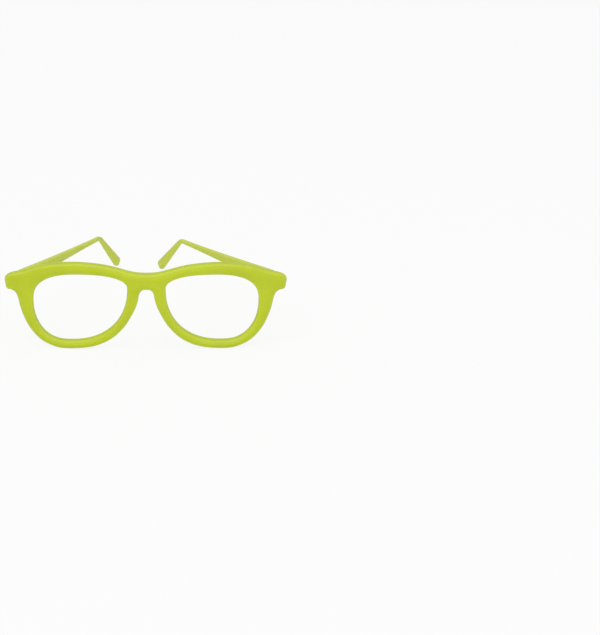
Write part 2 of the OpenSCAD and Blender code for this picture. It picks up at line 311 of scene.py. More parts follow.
@dataclass(frozen=True, kw_only=True)
class MouldedPlastic(Finish):
    """Injection-moulded ABS, coloured in the mass and taken from a polished mould.

    The mould's polish leaves a satin gloss with a faint orange peel, and fine scuffs make the gloss a little
    uneven. The pigment varies a little along the flow. Rounded edges are painted paler in patches, partly
    worn by handling and partly a painted highlight.
    """

    flow_colour: str
    # Paler colour of the rounded edges, partly worn plastic and partly a painted highlight
    wear_and_highlight_colour: str
    roughness: float = 0.48
    gloss_spread: float = 0.05
    relief_mm: float = 0.012
    ior: float = 1.52
    flow_span: tuple[float, float] = (0.35, 0.65)
    # Three patterns, each as the size of its features in millimetres and its detail
    flow: tuple[float, float] = (16.0, 3.0)
    scuff: tuple[float, float] = (2.4, 4.0)
    peel: tuple[float, float] = (0.9, 1.0)

    def material(self) -> Material:
        """Builds the node material.

        Returns:
            The material.
        """
        material, tree = new_material(self.name)
        here = add_node(tree, "ShaderNodeTexCoord", {}).outputs["Object"]
        noises = [
            add_node(tree, "ShaderNodeTexNoise", {"Vector": here, "Scale": cells(size), "Detail": detail})
            for size, detail in (self.flow, self.scuff, self.peel)
        ]
        flow, scuff, peel = (noise.outputs["Fac"] for noise in noises)
        low, high = self.flow_span
        tint = add_node(tree, "ShaderNodeMapRange", {"Value": flow, "From Min": low, "From Max": high})
        # Paler patches on the rounded edges: partly worn by handling, partly a painted highlight
        edge_wear_and_highlight = add_node(tree, "ShaderNodeAttribute", {}, attribute_name=EDGE_WEAR_AND_HIGHLIGHT).outputs["Fac"]
        patchy_wear_and_highlight = add_node(tree, "ShaderNodeMath", {0: edge_wear_and_highlight, 1: scuff}, operation="MULTIPLY")
        layers = ((tint.outputs["Result"], self.flow_colour), (patchy_wear_and_highlight.outputs["Value"], self.wear_and_highlight_colour))
        shown = linear(self.colour)
        for share, colour in layers:
            mixed = {"Factor": share, MIX_A: shown, MIX_B: linear(colour)}
            shown = add_node(tree, "ShaderNodeMix", mixed, data_type="RGBA").outputs[MIX_COLOUR]
        self.end_in_shader(tree, scuff, peel, {"Base Color": shown, "IOR": self.ior})
        return material


@dataclass(frozen=True, kw_only=True)
class PlatedSteel(Finish):
    """Stamped and turned steel with a thin nickel plating.

    The plating keeps a trace of the brushed or turned surface under it, so its gloss is satin and its
    highlights are a little streaked. Real marks are finer than these, which are coarse enough to show.
    """

    gloss_spread: float = 0.07
    relief_mm: float = 0.004
    streak_mm: float = 0.12
    streak_stretch: float = 14.0
    streak_detail: float = 3.0

    def material(self) -> Material:
        """Builds the node material.

        Returns:
            The material.
        """
        material, tree = new_material(self.name)
        here = add_node(tree, "ShaderNodeTexCoord", {}).outputs["Object"]
        along = add_node(
            tree, "ShaderNodeMapping", {"Vector": here, "Scale": (1.0, 1.0, self.streak_stretch)}
        )
        marks = {"Vector": along.outputs["Vector"], "Scale": cells(self.streak_mm * self.streak_stretch)}
        streaks = add_node(tree, "ShaderNodeTexNoise", {**marks, "Detail": self.streak_detail}).outputs["Fac"]
        self.end_in_shader(tree, streaks, streaks, {"Base Color": linear(self.colour), "Metallic": 1.0})
        return material


@dataclass(frozen=True)
class Station:
    """A place on the front's outline, with the direction of the opening's edge that it belongs to.

    A station on the middle plane also has its share of the way up the bridge.
    """

    angle: float
    point: Vector
    inward: Vector
    seam_share: float | None = None


@dataclass(frozen=True)
class FrontSizes:
    """Driving sizes of the moulded front, in millimetres."""

    lens_w: float = 48.2
    lens_h: float = 38.2
    lens_gap: float = 19.7
    lower_rim_h: float = 4.5
    brow_h: float = 6.1
    end_w: float = 14.4
    bridge_drop: float = 5.3
    bridge_h: float = 8.6
    rim_t: float = 4.4
    bridge_t: float = 4.8
    pad_h: float = 3.4
    face_edge_r: float = 1.3
    back_edge_r: float = 0.8
    crown_h: float = 0.4
    wrap_r: float = 300.0
    hinge_drop: float = 14.2

    @property
    def x_in(self) -> float:
        """Nose side of the opening."""
        return self.lens_gap / 2

    @property
    def x_out(self) -> float:
        """Temple side of the opening."""
        return self.x_in + self.lens_w

    @property
    def x_end(self) -> float:
        """Outermost place of the front."""
        return self.x_out + self.end_w

    @property
    def v_top(self) -> float:
        """Top of the opening."""
        return self.lower_rim_h + self.lens_h

    @property
    def v_brow(self) -> float:
        """Top of the brow."""
        return self.v_top + self.brow_h

    @property
    def bridge_top(self) -> float:
        """Top of the bridge on the middle plane."""
        return self.v_brow - self.bridge_drop

    @property
    def bridge_low(self) -> float:
        """Underside of the bridge on the middle plane."""
        return self.bridge_top - self.bridge_h

    @property
    def v_hinge(self) -> float:
        """Height of the middle of the hinge."""
        return self.v_brow - self.hinge_drop


@dataclass(frozen=True)
class HingeSizes:
    """Driving sizes of the hinge and its place, in millimetres."""

    out: float = 4.1
    barrel_r: float = 1.3
    barrel_gap: float = 0.35
    butt_gap: float = 0.3
    leaf_t: float = 0.95
    lug_wall: float = 0.6
    lug_depth: float = 8.0
    leaf_proud: float = 0.05

    @property
    def notch_r(self) -> float:
        """Radius of the room that the plastic leaves round the barrels."""
        return self.barrel_r + self.barrel_gap

    @property
    def inner_x(self) -> float:
        """Distance from the axis out to the temple's inner face."""
        return self.barrel_r - self.leaf_t


class Outline:
    """Half of the front as two curves: the lens opening, and the outline from the bridge to its notch."""

    # How full each quarter of the opening is, from the upper temple side over the top
    EYE_FULL = (2.65, 2.2, 2.27, 2.19)
    # Where the quarters meet: at the top and the bottom from the nose, and at the two sides from below
    TOP_SHARE, LOW_SHARE = 0.41, 0.66
    SIDE_SHARE, NOSE_SHARE = 0.55, 0.81
    NORMAL_DEG = 0.5
    # Stations from one point of the outline to the next, up the bridge, and to both sides for a direction
    STEPS = 4
    BRIDGE_STATIONS = 7
    REACH = 2

    def __init__(self, sizes: FrontSizes) -> None:
        """Works out the stations from the sizes.

        Args:
            sizes: The front's own sizes.
        """
        self.sizes = sizes
        self.top_x = sizes.x_in + self.TOP_SHARE * sizes.lens_w
        self.low_x = sizes.x_in + self.LOW_SHARE * sizes.lens_w
        self.side_v = sizes.lower_rim_h + self.SIDE_SHARE * sizes.lens_h
        self.nose_v = sizes.lower_rim_h + self.NOSE_SHARE * sizes.lens_h
        self.stations = self._outer_stations() + self._bridge_stations()

    def eye(self, angle: float) -> Vector:
        """Gives a point of the opening's edge.

        Args:
            angle: Its direction in degrees, from the temple side over the top.

        Returns:
            The flat point.
        """
        s = self.sizes
        turned = angle % 360
        quarter = int(turned // 90)
        upper = quarter < 2
        temple_side = quarter in (0, 3)
        middle = Vector((self.top_x if upper else self.low_x, self.side_v if temple_side else self.nose_v))
        reach_x = s.x_out - middle.x if temple_side else middle.x - s.x_in
        reach_v = s.v_top - middle.y if upper else middle.y - s.lower_rim_h
        return middle + oblong(2 * reach_x, 2 * reach_v, self.EYE_FULL[quarter], math.radians(turned))

    def eye_normal(self, angle: float) -> Vector:
        """Gives the direction from the opening's edge into the plastic."""
        return right_of(self.eye(angle + self.NORMAL_DEG) - self.eye(angle - self.NORMAL_DEG))

    def _route(self) -> list[Vector]:
        """Gives the outline's own points, from the bridge's top round to the nose notch.

        Returns:
            The points, each as (direction from the opening in degrees, x, v).
        """
        s = self.sizes
        brow = [
            (155, 0, s.bridge_top),
            (146, s.x_in - 4.9, s.bridge_top + 0.3),
            (137, s.x_in + 0.1, s.bridge_top + 1.5),
            (126, s.x_in + 5.6, s.v_brow - 2.2),
            (112, s.x_in + 12.1, s.v_brow - 0.8),
            (96, s.x_in + 21.1, s.v_brow - 0.02),
            (78, s.x_in + 29.1, s.v_brow - 0.12),
            (62, s.x_out - 11, s.v_brow - 1.2),
            (48, s.x_out - 2.7, s.v_brow - 3.3),
            (35, s.x_end - 8.9, s.v_hinge + 7.6),
            (26, s.x_end - 2.9, s.v_hinge + 5.8),
            (20, s.x_end, s.v_hinge + 3.2),
            (15, s.x_end - 0.2, s.v_hinge - 0.3),
            (11, s.x_end - 0.9, s.v_hinge - 2.8),
            (7, s.x_end - 3.8, s.v_hinge - 3.4),
            (2, s.x_end - 6, s.v_hinge - 5.9),
        ]
        # How much wider than at its lowest the lower rim is, by direction
        widening = {354: 2.6, 342: 1.7, 326: 1, 306: 0.5, 288: 0, 270: 0}
        widening |= {250: 0.1, 232: 0.2, 216: 0.1, 204: 0.3, 195: 1, 188: 1.5}
        notch = [
            (-176, s.x_in - 6.2, s.bridge_low - 2.5),
            (-181, s.x_in - 7.7, s.bridge_low - 0.3),
            (-186, 0, s.bridge_low),
        ]
        lower = []
        for angle, wider in widening.items():
            point = self.eye(angle) + self.eye_normal(angle) * (s.lower_rim_h + wider)
            lower.append((angle - 360, point.x, point.y))
        return [Vector(row) for row in (*brow, *lower, *notch)]

    def _outer_stations(self) -> list[Station]:
        """Draws the smooth outline through its points.

        Returns:
            The stations on it, whose first and last lie on the middle plane.
        """
        route = self._route()
        ends = (route[0].x, route[-1].x)
        before = Vector((2 * ends[0] - route[1].x, -route[1].y, route[1].z))
        after = Vector((2 * ends[1] - route[-2].x, -route[-2].y, route[-2].z))
        rows = [before, *route, after]
        points = [
            spline(rows[i - 1], rows[i], rows[i + 1], rows[i + 2], k / self.STEPS)
            for i in range(1, len(route))
            for k in range(self.STEPS)
        ]
        points.append(route[-1])
        flat = [Vector((p.y, p.z)) for p in points]
        mirrored = [Vector((-p.x, p.y)) for p in flat]
        longer = [*reversed(mirrored[1 : self.REACH + 1]), *flat, *reversed(mirrored[-self.REACH - 1 : -1])]
        return [
            Station(points[i].x, flat[i], right_of(longer[i + 2 * self.REACH] - longer[i]))
            for i in range(len(flat))
        ]

    def _bridge_stations(self) -> list[Station]:
        """Closes the round on the middle plane, through the bridge.

        Returns:
            The stations up the middle plane, from the notch back to the bridge's top.
        """
        s = self.sizes
        last, first = self._route()[-1].x, self._route()[0].x - 360
        low, top = s.bridge_low + s.face_edge_r, s.bridge_top - s.face_edge_r
        return [
            Station(last + (first - last) * t, Vector((0, low + (top - low) * t)), Vector((1, 0)), t)
            for t in even(0.0, 1.0, self.BRIDGE_STATIONS + 1)[1:-1]
        ]


class Front:
    """The moulded front: rims, bridge, nose pads and end pieces in one."""

    ARC = 4
    FACE_SPANS = 5
    CROWN_KEPT = 0.06
    BRIDGE_FADE = 1.2
    # The nose pad: its top over the bridge's underside, its rise, its foot under the side's middle, its fall
    PAD_START, PAD_RISE, PAD_REACH, PAD_FALL = 1.0, 9.0, 13.0, 12.0
    PAD_HOLLOW = 1.3
    # The end piece grows out between these directions from the opening, in degrees
    LUG_FROM, LUG_TO = 30.0, 6.0
    LUG_RINGS = 6
    LUG_FULL = 5.0
    BUTT_ROUND = 0.35
    BUTT_STEPS = 3
    FILLET_REACH, FILLET_PASSES, FILLET_PULL = 3, 10, 0.5
    SHARP_DEG = 50.0

    def __init__(self, sizes: FrontSizes, hinge: HingeSizes, butt: tuple[float, float]) -> None:
        """Keeps the sizes.

        Args:
            sizes: The front's own sizes.
            hinge: The hinge's sizes.
            butt: Height and thickness of the temple where it meets the end piece.
        """
        self.sizes = sizes
        self.hinge = hinge
        self.butt_h, self.butt_t = butt
        self.outline = Outline(sizes)
        self.axis_x = sizes.x_out + hinge.out
        self.lug_in = self.axis_x - hinge.barrel_r - hinge.lug_wall
        self.lug_out = self.axis_x + hinge.inner_x + self.butt_t
        self.butt_y = self.bend(self.lug_out) + hinge.lug_depth
        self.axis = Vector((self.axis_x, self.butt_y + hinge.notch_r, sizes.v_hinge))

    def bend(self, x: float) -> float:
        """Gives how far the wrap round the face takes the front back at x."""
        return self.sizes.wrap_r - math.sqrt(self.sizes.wrap_r**2 - x**2)

    def on_plate(self, point: Vector, depth: float) -> Vector:
        """Gives the place of a flat point at a depth behind the bent front."""
        return Vector((point.x, self.bend(point.x) + depth, point.y))

    def back_depth(self, x: float) -> float:
        """Gives the depth of the back, which is thicker at the bridge."""
        s = self.sizes
        return s.rim_t + (s.bridge_t - s.rim_t) * blend(self.BRIDGE_FADE - abs(x) / s.x_in)

    def pad(self, point: Vector) -> float:
        """Gives the nose pad's height.

        Args:
            point: A flat point of the outline.

        Returns:
            How far the pad stands out behind it, in millimetres.
        """
        if point.x > self.outline.top_x:
            return 0.0
        start = (self.sizes.bridge_low + self.PAD_START - point.y) / self.PAD_RISE
        end = (point.y - self.outline.side_v + self.PAD_REACH) / self.PAD_FALL
        return self.sizes.pad_h * blend(start) * blend(end)

    def section(self, station: Station) -> list[tuple[Vector, float]]:
        """Gives the cross-section of a rim.

        Args:
            station: Where on the outline it stands.

        Returns:
            The points round it, each with how much it is painted paler, partly worn and partly a painted
            highlight:
            the edge of the opening, the face, the outer edge, then the back from the outer edge to the
            opening.
        """
        s = self.sizes
        on_seam = station.seam_share is not None
        eye, into = self.outline.eye(station.angle), self.outline.eye_normal(station.angle)
        lift = 0.0 if on_seam else self.pad(station.point)
        seam = 1.0 if not on_seam else (2 * station.seam_share - 1) ** 2
        quarter = even(0.0, math.pi / 2, self.ARC)
        spans = even(0.0, 1.0, self.FACE_SPANS)[1:-1]
        rows: list[tuple[Vector, float]] = []

        def outer(radius: float, turn: float) -> Vector:
            """Gives the flat place at a turn of the rounding along the outline."""
            inset = 0.0 if on_seam else radius * (1 - math.cos(turn))
            return station.point + station.inward * inset

        def inner(radius: float, turn: float) -> Vector:
            """Gives the flat place at a turn of the rounding along the opening."""
            return eye + into * radius * (1 - math.cos(turn))

        def face_depth(share: float) -> float:
            """Gives the crowned face's depth, from the opening at 0 to the outline at 1."""
            ridge = seam * (1 - 4 * share * (1 - share)) + (1 - seam) * (1 - share) ** 2
            return s.crown_h * (self.CROWN_KEPT + (1 - self.CROWN_KEPT) * ridge)

        def add(flat: Vector, depth: float, share: float = 0.0) -> None:
            """Adds the point at a depth behind a flat place, with how much it is painted paler as worn edge
            and painted highlight.
            """
            rows.append((self.on_plate(flat, depth), share))

        for turn in quarter:
            add(inner(s.face_edge_r, turn), s.crown_h + s.face_edge_r * (1 - math.sin(turn)), wear_and_highlight_at(turn))
        for share in spans:
            flat = inner(s.face_edge_r, quarter[-1]).lerp(outer(s.face_edge_r, quarter[-1]), share)
            add(flat, face_depth(share))
        for turn in reversed(quarter):
            depth = face_depth(1.0) + s.face_edge_r * (1 - math.sin(turn))
            add(outer(s.face_edge_r, turn), depth, wear_and_highlight_at(turn))
        for turn in quarter:
            flat = outer(s.back_edge_r, turn)
            add(flat, self.back_depth(flat.x) + lift - s.back_edge_r * (1 - math.sin(turn)), wear_and_highlight_at(turn))
        for share in spans:
            flat = outer(s.back_edge_r, quarter[-1]).lerp(inner(s.back_edge_r, quarter[-1]), share)
            add(flat, self.back_depth(flat.x) + lift * (1 - share) ** self.PAD_HOLLOW)
        for turn in reversed(quarter):
            flat = inner(s.back_edge_r, turn)
            add(flat, self.back_depth(flat.x) - s.back_edge_r * (1 - math.sin(turn)), wear_and_highlight_at(turn))
        return rows

    def build(self, place: Matrix) -> Object:
        """Models the front.

        Args:
            place: Matrix from the front's own frame to the row frame.

        Returns:
            The placed object.
        """
        bm = bmesh.new()
        # Paler rounded edges, partly worn and partly a painted highlight, go in this layer
        edge_wear_and_highlight = bm.verts.layers.float.new(EDGE_WEAR_AND_HIGHLIGHT)
        sections = [self.section(station) for station in self.outline.stations]
        rings: list[list[BMVert]] = []
        for row in zip(*sections):
            places = [point for point, _ in row]
            rings.append(draw_out(bm, rings[-1], places) if rings else start_ring(bm, places))
            for vert, (_, share) in zip(rings[-1], row):
                vert[edge_wear_and_highlight] = share
        bmesh.ops.bridge_loops(bm, edges=ring_edges(bm, rings[-1]) + ring_edges(bm, rings[0]))
        self._grow_end_piece(bm, rings, edge_wear_and_highlight)
        on_seam = [f for f in bm.faces if all(abs(v.co.x) < ON_SEAM for v in f.verts)]
        bmesh.ops.delete(bm, geom=on_seam, context="FACES")
        half = [*bm.verts, *bm.edges, *bm.faces]
        bmesh.ops.mirror(bm, geom=half, matrix=Matrix.Identity(4), merge_dist=ON_SEAM, axis="X")
        piece = finish_mesh(bm, "moulded_front", place, self.SHARP_DEG)
        smooth = piece.modifiers.new("smooth_moulding", "SUBSURF")
        smooth.levels = 1
        smooth.render_levels = 1
        return piece

    def _open_back(self, bm: BMesh, rings: list[list[BMVert]], rows: range) -> list[BMVert]:
        """Opens the back at the end of the brow.

        Args:
            bm: The half front.
            rings: Its rings of vertices, in the order of the cross-section's points.
            rows: Numbers of the rings from which the faces up to the next ring go.

        Returns:
            The vertices round the hole, in order.
        """
        inside = [i for i, st in enumerate(self.outline.stations) if self.LUG_TO <= st.angle <= self.LUG_FROM]
        first, last = inside[0], inside[-1]
        patch = [
            face
            for row in rows
            for i in range(first, last)
            for face in rings[row][i].link_faces
            if {rings[row][i + 1], rings[row + 1][i], rings[row + 1][i + 1]} <= set(face.verts)
        ]
        loop = [rings[rows.start][i] for i in range(first, last)]
        loop += [rings[row][last] for row in rows]
        loop += [rings[rows.stop][i] for i in range(last, first, -1)]
        loop += [rings[row][first] for row in range(rows.stop, rows.start, -1)]
        bmesh.ops.delete(bm, geom=patch, context="FACES")
        return loop

    def _grow_end_piece(self, bm: BMesh, rings: list[list[BMVert]], edge_wear_and_highlight: BMLayerItem) -> None:
        """Draws the end piece out of a hole in the back, to its flat butt at the hinge.

        Args:
            bm: The half front.
            rings: Its rings of vertices, in the order of the cross-section's points.
            edge_wear_and_highlight: The layer that keeps how much each vertex is painted paler, partly worn
                and partly a painted highlight.
        """
        outer_row = 2 * (self.ARC + 1) + self.FACE_SPANS - 1
        rows = range(outer_row, outer_row + self.ARC + self.FACE_SPANS - 1)
        crease = self._open_back(bm, rings, rows)
        root = [v.co.copy() for v in crease]
        low = Vector(map(min, zip(*root)))
        high = Vector(map(max, zip(*root)))
        middle, half = (low + high) / 2, (high - low) / 2
        turns = [math.atan2((p.z - middle.z) / half.z, (p.x - middle.x) / half.x) for p in root]
        butt_middle = Vector(((self.lug_in + self.lug_out) / 2, self.sizes.v_hinge))

        def butt_ring(inset: float, back: float) -> list[Vector]:
            """Gives a ring round the butt.

            Args:
                inset: Distance that it is drawn in on all sides.
                back: Distance that it lies in front of the butt.

            Returns:
                Its points.
            """
            width = self.lug_out - self.lug_in - 2 * inset
            height = self.butt_h - 2 * inset
            flat = [butt_middle + oblong(width, height, self.LUG_FULL, turn) for turn in turns]
            return [Vector((p.x, self.butt_y - self.hinge.leaf_proud - back, p.y)) for p in flat]

        loop = crease
        full = butt_ring(0.0, self.BUTT_ROUND)
        for along in even(0.0, 1.0, self.LUG_RINGS)[1:]:
            places = []
            for start, end in zip(root, full):
                point = start.lerp(end, blend(along))
                point.y = start.y + (end.y - start.y) * along
                places.append(point)
            loop = draw_out(bm, loop, places)
            mark(loop, edge_wear_and_highlight, 0.0)
        for turn in even(0.0, math.pi / 2, self.BUTT_STEPS)[1:]:
            inset = self.BUTT_ROUND * (1 - math.cos(turn))
            loop = draw_out(bm, loop, butt_ring(inset, self.BUTT_ROUND * (1 - math.sin(turn))))
            mark(loop, edge_wear_and_highlight, wear_and_highlight_at(turn))
        loop = draw_out(bm, loop, butt_ring(2 * self.BUTT_ROUND, 0.0))
        bmesh.ops.edgeloop_fill(bm, edges=ring_edges(bm, loop))
        self._fillet(bm, crease, [*rings[: rows.start + 1], *rings[rows.stop + 1 :]])

    def _fillet(self, bm: BMesh, crease: list[BMVert], kept: list[list[BMVert]]) -> None:
        """Rounds the crease where the end piece grows out of the back, as the mould's fillet does.

        Args:
            bm: The half front.
            crease: The vertices of the crease.
            kept: Rings of vertices that hold the outline and the opening, which stay where they are.
        """
        near = set(crease)
        for _ in range(self.FILLET_REACH):
            near |= {edge.other_vert(vert) for vert in near for edge in vert.link_edges}
        near -= {vert for ring in kept for vert in ring}
        soft = [vert for vert in bm.verts if vert in near]
        for _ in range(self.FILLET_PASSES):
            bmesh.ops.smooth_vert(
                bm, verts=soft, factor=self.FILLET_PULL, use_axis_x=True, use_axis_y=True, use_axis_z=True
            )


@dataclass(frozen=True)
class TempleSizes:
    """Driving sizes of a temple, in millimetres and degrees."""

    arm_l: float = 99.0
    tip_l: float = 36.2
    butt_h: float = 8.4
    butt_t: float = 4.2
    neck_h: float = 2.2
    neck_t: float = 2.4
    paddle_h: float = 5.4
    paddle_t: float = 3.5
    arm_slope: float = 10.0
    ear_drop: float = 36.0
    ear_r: float = 6.0


class Temple:
    """A moulded temple: butt, tapering arm, ear bend and rounded paddle, drawn out of one ring."""

    SIDES = 40
    NOTCH_RINGS, ARM_RINGS, EAR_RINGS, TIP_RINGS, END_RINGS = 10, 26, 12, 10, 8
    BUTT_FULL, TIP_FULL = 4.5, 2.8
    # The inner face is flatter along the hinge's leaf, and fades to the arm's own section past it
    SEAT_FULL, SEAT_FADE = 10.0, 20.0
    SEAT_LENGTH = 9.0
    ARM_TAPER, TIP_TAPER = 1.4, 1.0
    BUTT_ROUND = 0.3
    BUTT_STEPS = 3
    END_REACH = 0.995
    SHARP_DEG = 42.0
    REST_TOE = {Side.LEFT: 28.0, Side.RIGHT: 23.0}

    def __init__(self, side: Side, sizes: TempleSizes, hinge: HingeSizes) -> None:
        """Works out the lengths along the centre line.

        Args:
            side: The temple's side of the face.
            sizes: The temple's own sizes.
            hinge: The hinge's sizes.
        """
        self.side = side
        self.sizes = sizes
        self.hinge = hinge
        tangent = sizes.ear_r * math.tan(math.radians(sizes.ear_drop) / 2)
        paddle_r = sizes.paddle_h / 2
        self.ear_len = sizes.ear_r * math.radians(sizes.ear_drop)
        self.arm_run = sizes.arm_l - tangent
        self.length = self.arm_run + self.ear_len + sizes.tip_l - tangent - paddle_r
        self.end_run = self.END_REACH * paddle_r
        self.start = hinge.butt_gap - hinge.notch_r
        self.middle_x = hinge.inner_x + sizes.butt_t / 2

    @staticmethod
    def _along(slope: float) -> Vector:
        """Gives the direction back and down a slope in degrees, as (back, up)."""
        return Vector((math.cos(math.radians(slope)), -math.sin(math.radians(slope))))

    def slope(self, s: float) -> float:
        """Gives the slope of the centre line at a distance along it, in degrees."""
        turned = math.degrees((s - self.arm_run) / self.sizes.ear_r)
        return self.sizes.arm_slope + min(max(turned, 0.0), self.sizes.ear_drop)

    def centre(self, s: float) -> Vector:
        """Gives a point of the centre line.

        Args:
            s: Distance along it.

        Returns:
            The point as (back, up) from the hinge's axis.
        """
        on_arm = Vector((self.start, 0)) + self._along(self.sizes.arm_slope) * min(s, self.arm_run)
        if s <= self.arm_run:
            return on_arm
        turning = on_arm + self._along(self.sizes.arm_slope + 90) * self.sizes.ear_r
        past = max(s - self.arm_run - self.ear_len, 0.0)
        on_arc = turning - self._along(self.slope(s) + 90) * self.sizes.ear_r
        return on_arc + self._along(self.slope(s)) * past

    def ring(self, s: float, past: float = 0.0, shrink: float = 1.0, inset: float = 0.0) -> list[Vector]:
        """Gives one ring of the temple.

        Args:
            s: Distance along the centre line.
            past: Further distance beyond it, for the rounded end.
            shrink: Share of the full size, for the rounded end.
            inset: Distance that the ring is drawn in on all sides, for the butt's edge.

        Returns:
            The ring's points beside the hinge's axis, as (out, back, up).
        """
        z = self.sizes
        bend_s = self.arm_run + self.ear_len / 2
        arm = min(s / bend_s, 1.0)
        tip = max((s - bend_s) / (self.length - bend_s), 0.0)
        to_butt, to_tip = (1 - arm) ** self.ARM_TAPER, tip**self.TIP_TAPER
        width = z.neck_t + (z.butt_t - z.neck_t) * to_butt + (z.paddle_t - z.neck_t) * to_tip
        height = z.neck_h + (z.butt_h - z.neck_h) * to_butt + (z.paddle_h - z.neck_h) * to_tip
        outer_full = self.BUTT_FULL + (self.TIP_FULL - self.BUTT_FULL) * arm
        flat_seat = 1 - blend((s - self.SEAT_LENGTH) / self.SEAT_FADE)
        inner_full = outer_full + (self.SEAT_FULL - self.BUTT_FULL) * flat_seat
        middle = self.centre(s) + self._along(self.slope(s)) * past
        tilt = math.radians(self.slope(s)) * blend(s / z.butt_h)
        points = []
        for k in range(self.SIDES):
            turn = 2 * math.pi * (k + 0.5) / self.SIDES
            full = inner_full if math.cos(turn) < 0 else outer_full
            flat = oblong(width * shrink - 2 * inset, height * shrink - 2 * inset, full, turn)
            back = middle.x + flat.y * math.sin(tilt)
            out = max(self.middle_x + flat.x, self._least_out(back))
            points.append(Vector((out, back, middle.y + flat.y * math.cos(tilt))))
        return points

    def _least_out(self, back: float) -> float:
        """Gives how near to the hinge's axis the plastic may come: past the barrel's room, then the leaf."""
        seat = self.hinge.inner_x + self.hinge.leaf_proud if back < self.SEAT_LENGTH else 0.0
        return max(math.sqrt(max(self.hinge.notch_r**2 - back**2, 0.0)), seat)

    def _ring_places(self) -> list[float]:
        """Spaces the rings behind the butt's rounded edge, closest along the room round the barrel.

        Returns:
            Their distances along the centre line.
        """
        notch_r = self.hinge.notch_r
        drop = math.cos(math.radians(self.sizes.arm_slope))
        notch_start = math.asin((self.start + 2 * self.BUTT_ROUND) / notch_r)
        notch_end = math.acos(self.hinge.inner_x / notch_r)
        ear_end = self.arm_run + self.ear_len
        turns = even(notch_start, notch_end, self.NOTCH_RINGS)
        places = [(notch_r * math.sin(turn) - self.start) / drop for turn in turns]
        places += even((notch_r - self.start) / drop, self.arm_run, self.ARM_RINGS)[:-1]
        places += even(self.arm_run, ear_end, self.EAR_RINGS)[:-1]
        places += even(ear_end, self.length, self.TIP_RINGS)
        return places

    def build(self, place: Matrix) -> Object:
        """Models the temple.

        Args:
            place: Matrix from the frame at the hinge's axis to the row frame.

        Returns:
            The placed object.
        """
        bm = bmesh.new()
        # Paler edges of the butt and the tip, partly worn and partly a painted highlight
        edge_wear_and_highlight = bm.verts.layers.float.new(EDGE_WEAR_AND_HIGHLIGHT)
        loop = start_ring(bm, self.ring(0.0, inset=self.BUTT_ROUND))
        bmesh.ops.edgeloop_fill(bm, edges=ring_edges(bm, loop))
        for turn in even(0.0, math.pi / 2, self.BUTT_STEPS)[1:]:
            inset = self.BUTT_ROUND * (1 - math.sin(turn))
            loop = draw_out(bm, loop, self.ring(self.BUTT_ROUND * (1 - math.cos(turn)), inset=inset))
            mark(loop, edge_wear_and_highlight, wear_and_highlight_at(turn))
        for s in self._ring_places():
            loop = draw_out(bm, loop, self.ring(s))
        for turn in even(0.0, math.pi / 2, self.END_RINGS)[1:-1]:
            loop = draw_out(bm, loop, self.ring(self.length, self.end_run * math.sin(turn), math.cos(turn)))
            mark(loop, edge_wear_and_highlight, math.sin(turn))
        end = self.centre(self.length) + self._along(self.slope(self.length)) * self.end_run
        tip = draw_out(bm, loop, self.ring(self.length))
        bmesh.ops.pointmerge(bm, verts=tip, merge_co=Vector((self.middle_x, end.x, end.y)))
        return finish_mesh(bm, f"moulded_{self.side.label}_temple", place, self.SHARP_DEG)


@dataclass(frozen=True)
class HingePart:
    """A hinge leaf or a screw: the frame's own solid, merged and with its edges broken.

    The edge is the width of that, and the corner the radius of a leaf's two far corners, in millimetres.
    """

    node: str
    name: str
    edge: float
    corner: float = 0.0

    MERGE = 0.002
    FLAT_DEG = 1.0
    EDGE_DEG = 35.0
    SHARP_DEG = 32.0
    EDGE_STEPS = 2
    CORNER_STEPS = 6

    def build(self, place: Matrix) -> Object:
        """Copies the node's solid, cleans it in millimetres beside the hinge and bevels its edges.

        Args:
            place: Matrix from the frame at the hinge's axis to the row frame.

        Returns:
            The placed object.
        """
        bm = bmesh.new()
        bm.from_mesh(frame["nodes"][self.node].data)
        bm.transform(place.inverted())
        bmesh.ops.remove_doubles(bm, verts=bm.verts, dist=self.MERGE)
        bmesh.ops.dissolve_limit(
            bm, angle_limit=math.radians(self.FLAT_DEG), verts=bm.verts, edges=bm.edges, delimit=set()
        )
        if self.corner:
            far = max(vert.co.y for vert in bm.verts) - self.MERGE
            ends = [e for e in bm.edges if all(v.co.y > far for v in e.verts)]
            corners = [e for e in ends if abs(e.verts[0].co.z - e.verts[1].co.z) < self.MERGE]
            self._bevel(bm, corners, self.corner, self.CORNER_STEPS)
        limit = math.radians(self.EDGE_DEG)
        edges = [e for e in bm.edges if e.is_manifold and e.calc_face_angle(0.0) > limit]
        self._bevel(bm, edges, self.edge, self.EDGE_STEPS)
        bmesh.ops.dissolve_degenerate(bm, dist=self.MERGE, edges=bm.edges)
        return finish_mesh(bm, self.name, place, self.SHARP_DEG)

    @staticmethod
    def _bevel(bm: BMesh, edges: list[BMEdge], width: float, steps: int) -> None:
        """Rounds edges.

        Args:
            bm: The mesh.
            edges: The edges to round.
            width: Width of the rounding on each face, in millimetres.
            steps: Number of facets across it.
        """
        bmesh.ops.bevel(
            bm, geom=edges, offset=width, offset_type="OFFSET", segments=steps, profile=0.5,
            affect="EDGES", material=-1, clamp_overlap=True,
        )


@dataclass(frozen=True)
class SoftBox:
    """A square soft lamp, with its place and aim in metres and about its share of the plain light level."""

    name: str
    place: tuple[float, float, float]
    size: float
    share: float
    aim: tuple[float, float, float] = (0.0, -0.05, 0.02)

    def build(self) -> None:
        """Adds the lamp. Its power grows with the square of its distance, so its share holds."""
        light = bpy.data.lights.new(self.name, "AREA")
        light.shape = "SQUARE"
        light.size = self.size
        away = Vector(self.place) - Vector(self.aim)
        light.energy = self.share * math.pi**2 * away.length_squared
        lamp = new_object(self.name, light)
        lamp.location = self.place
        lamp.rotation_mode = "QUATERNION"
        lamp.rotation_quaternion = away.to_track_quat("Z", "Y")


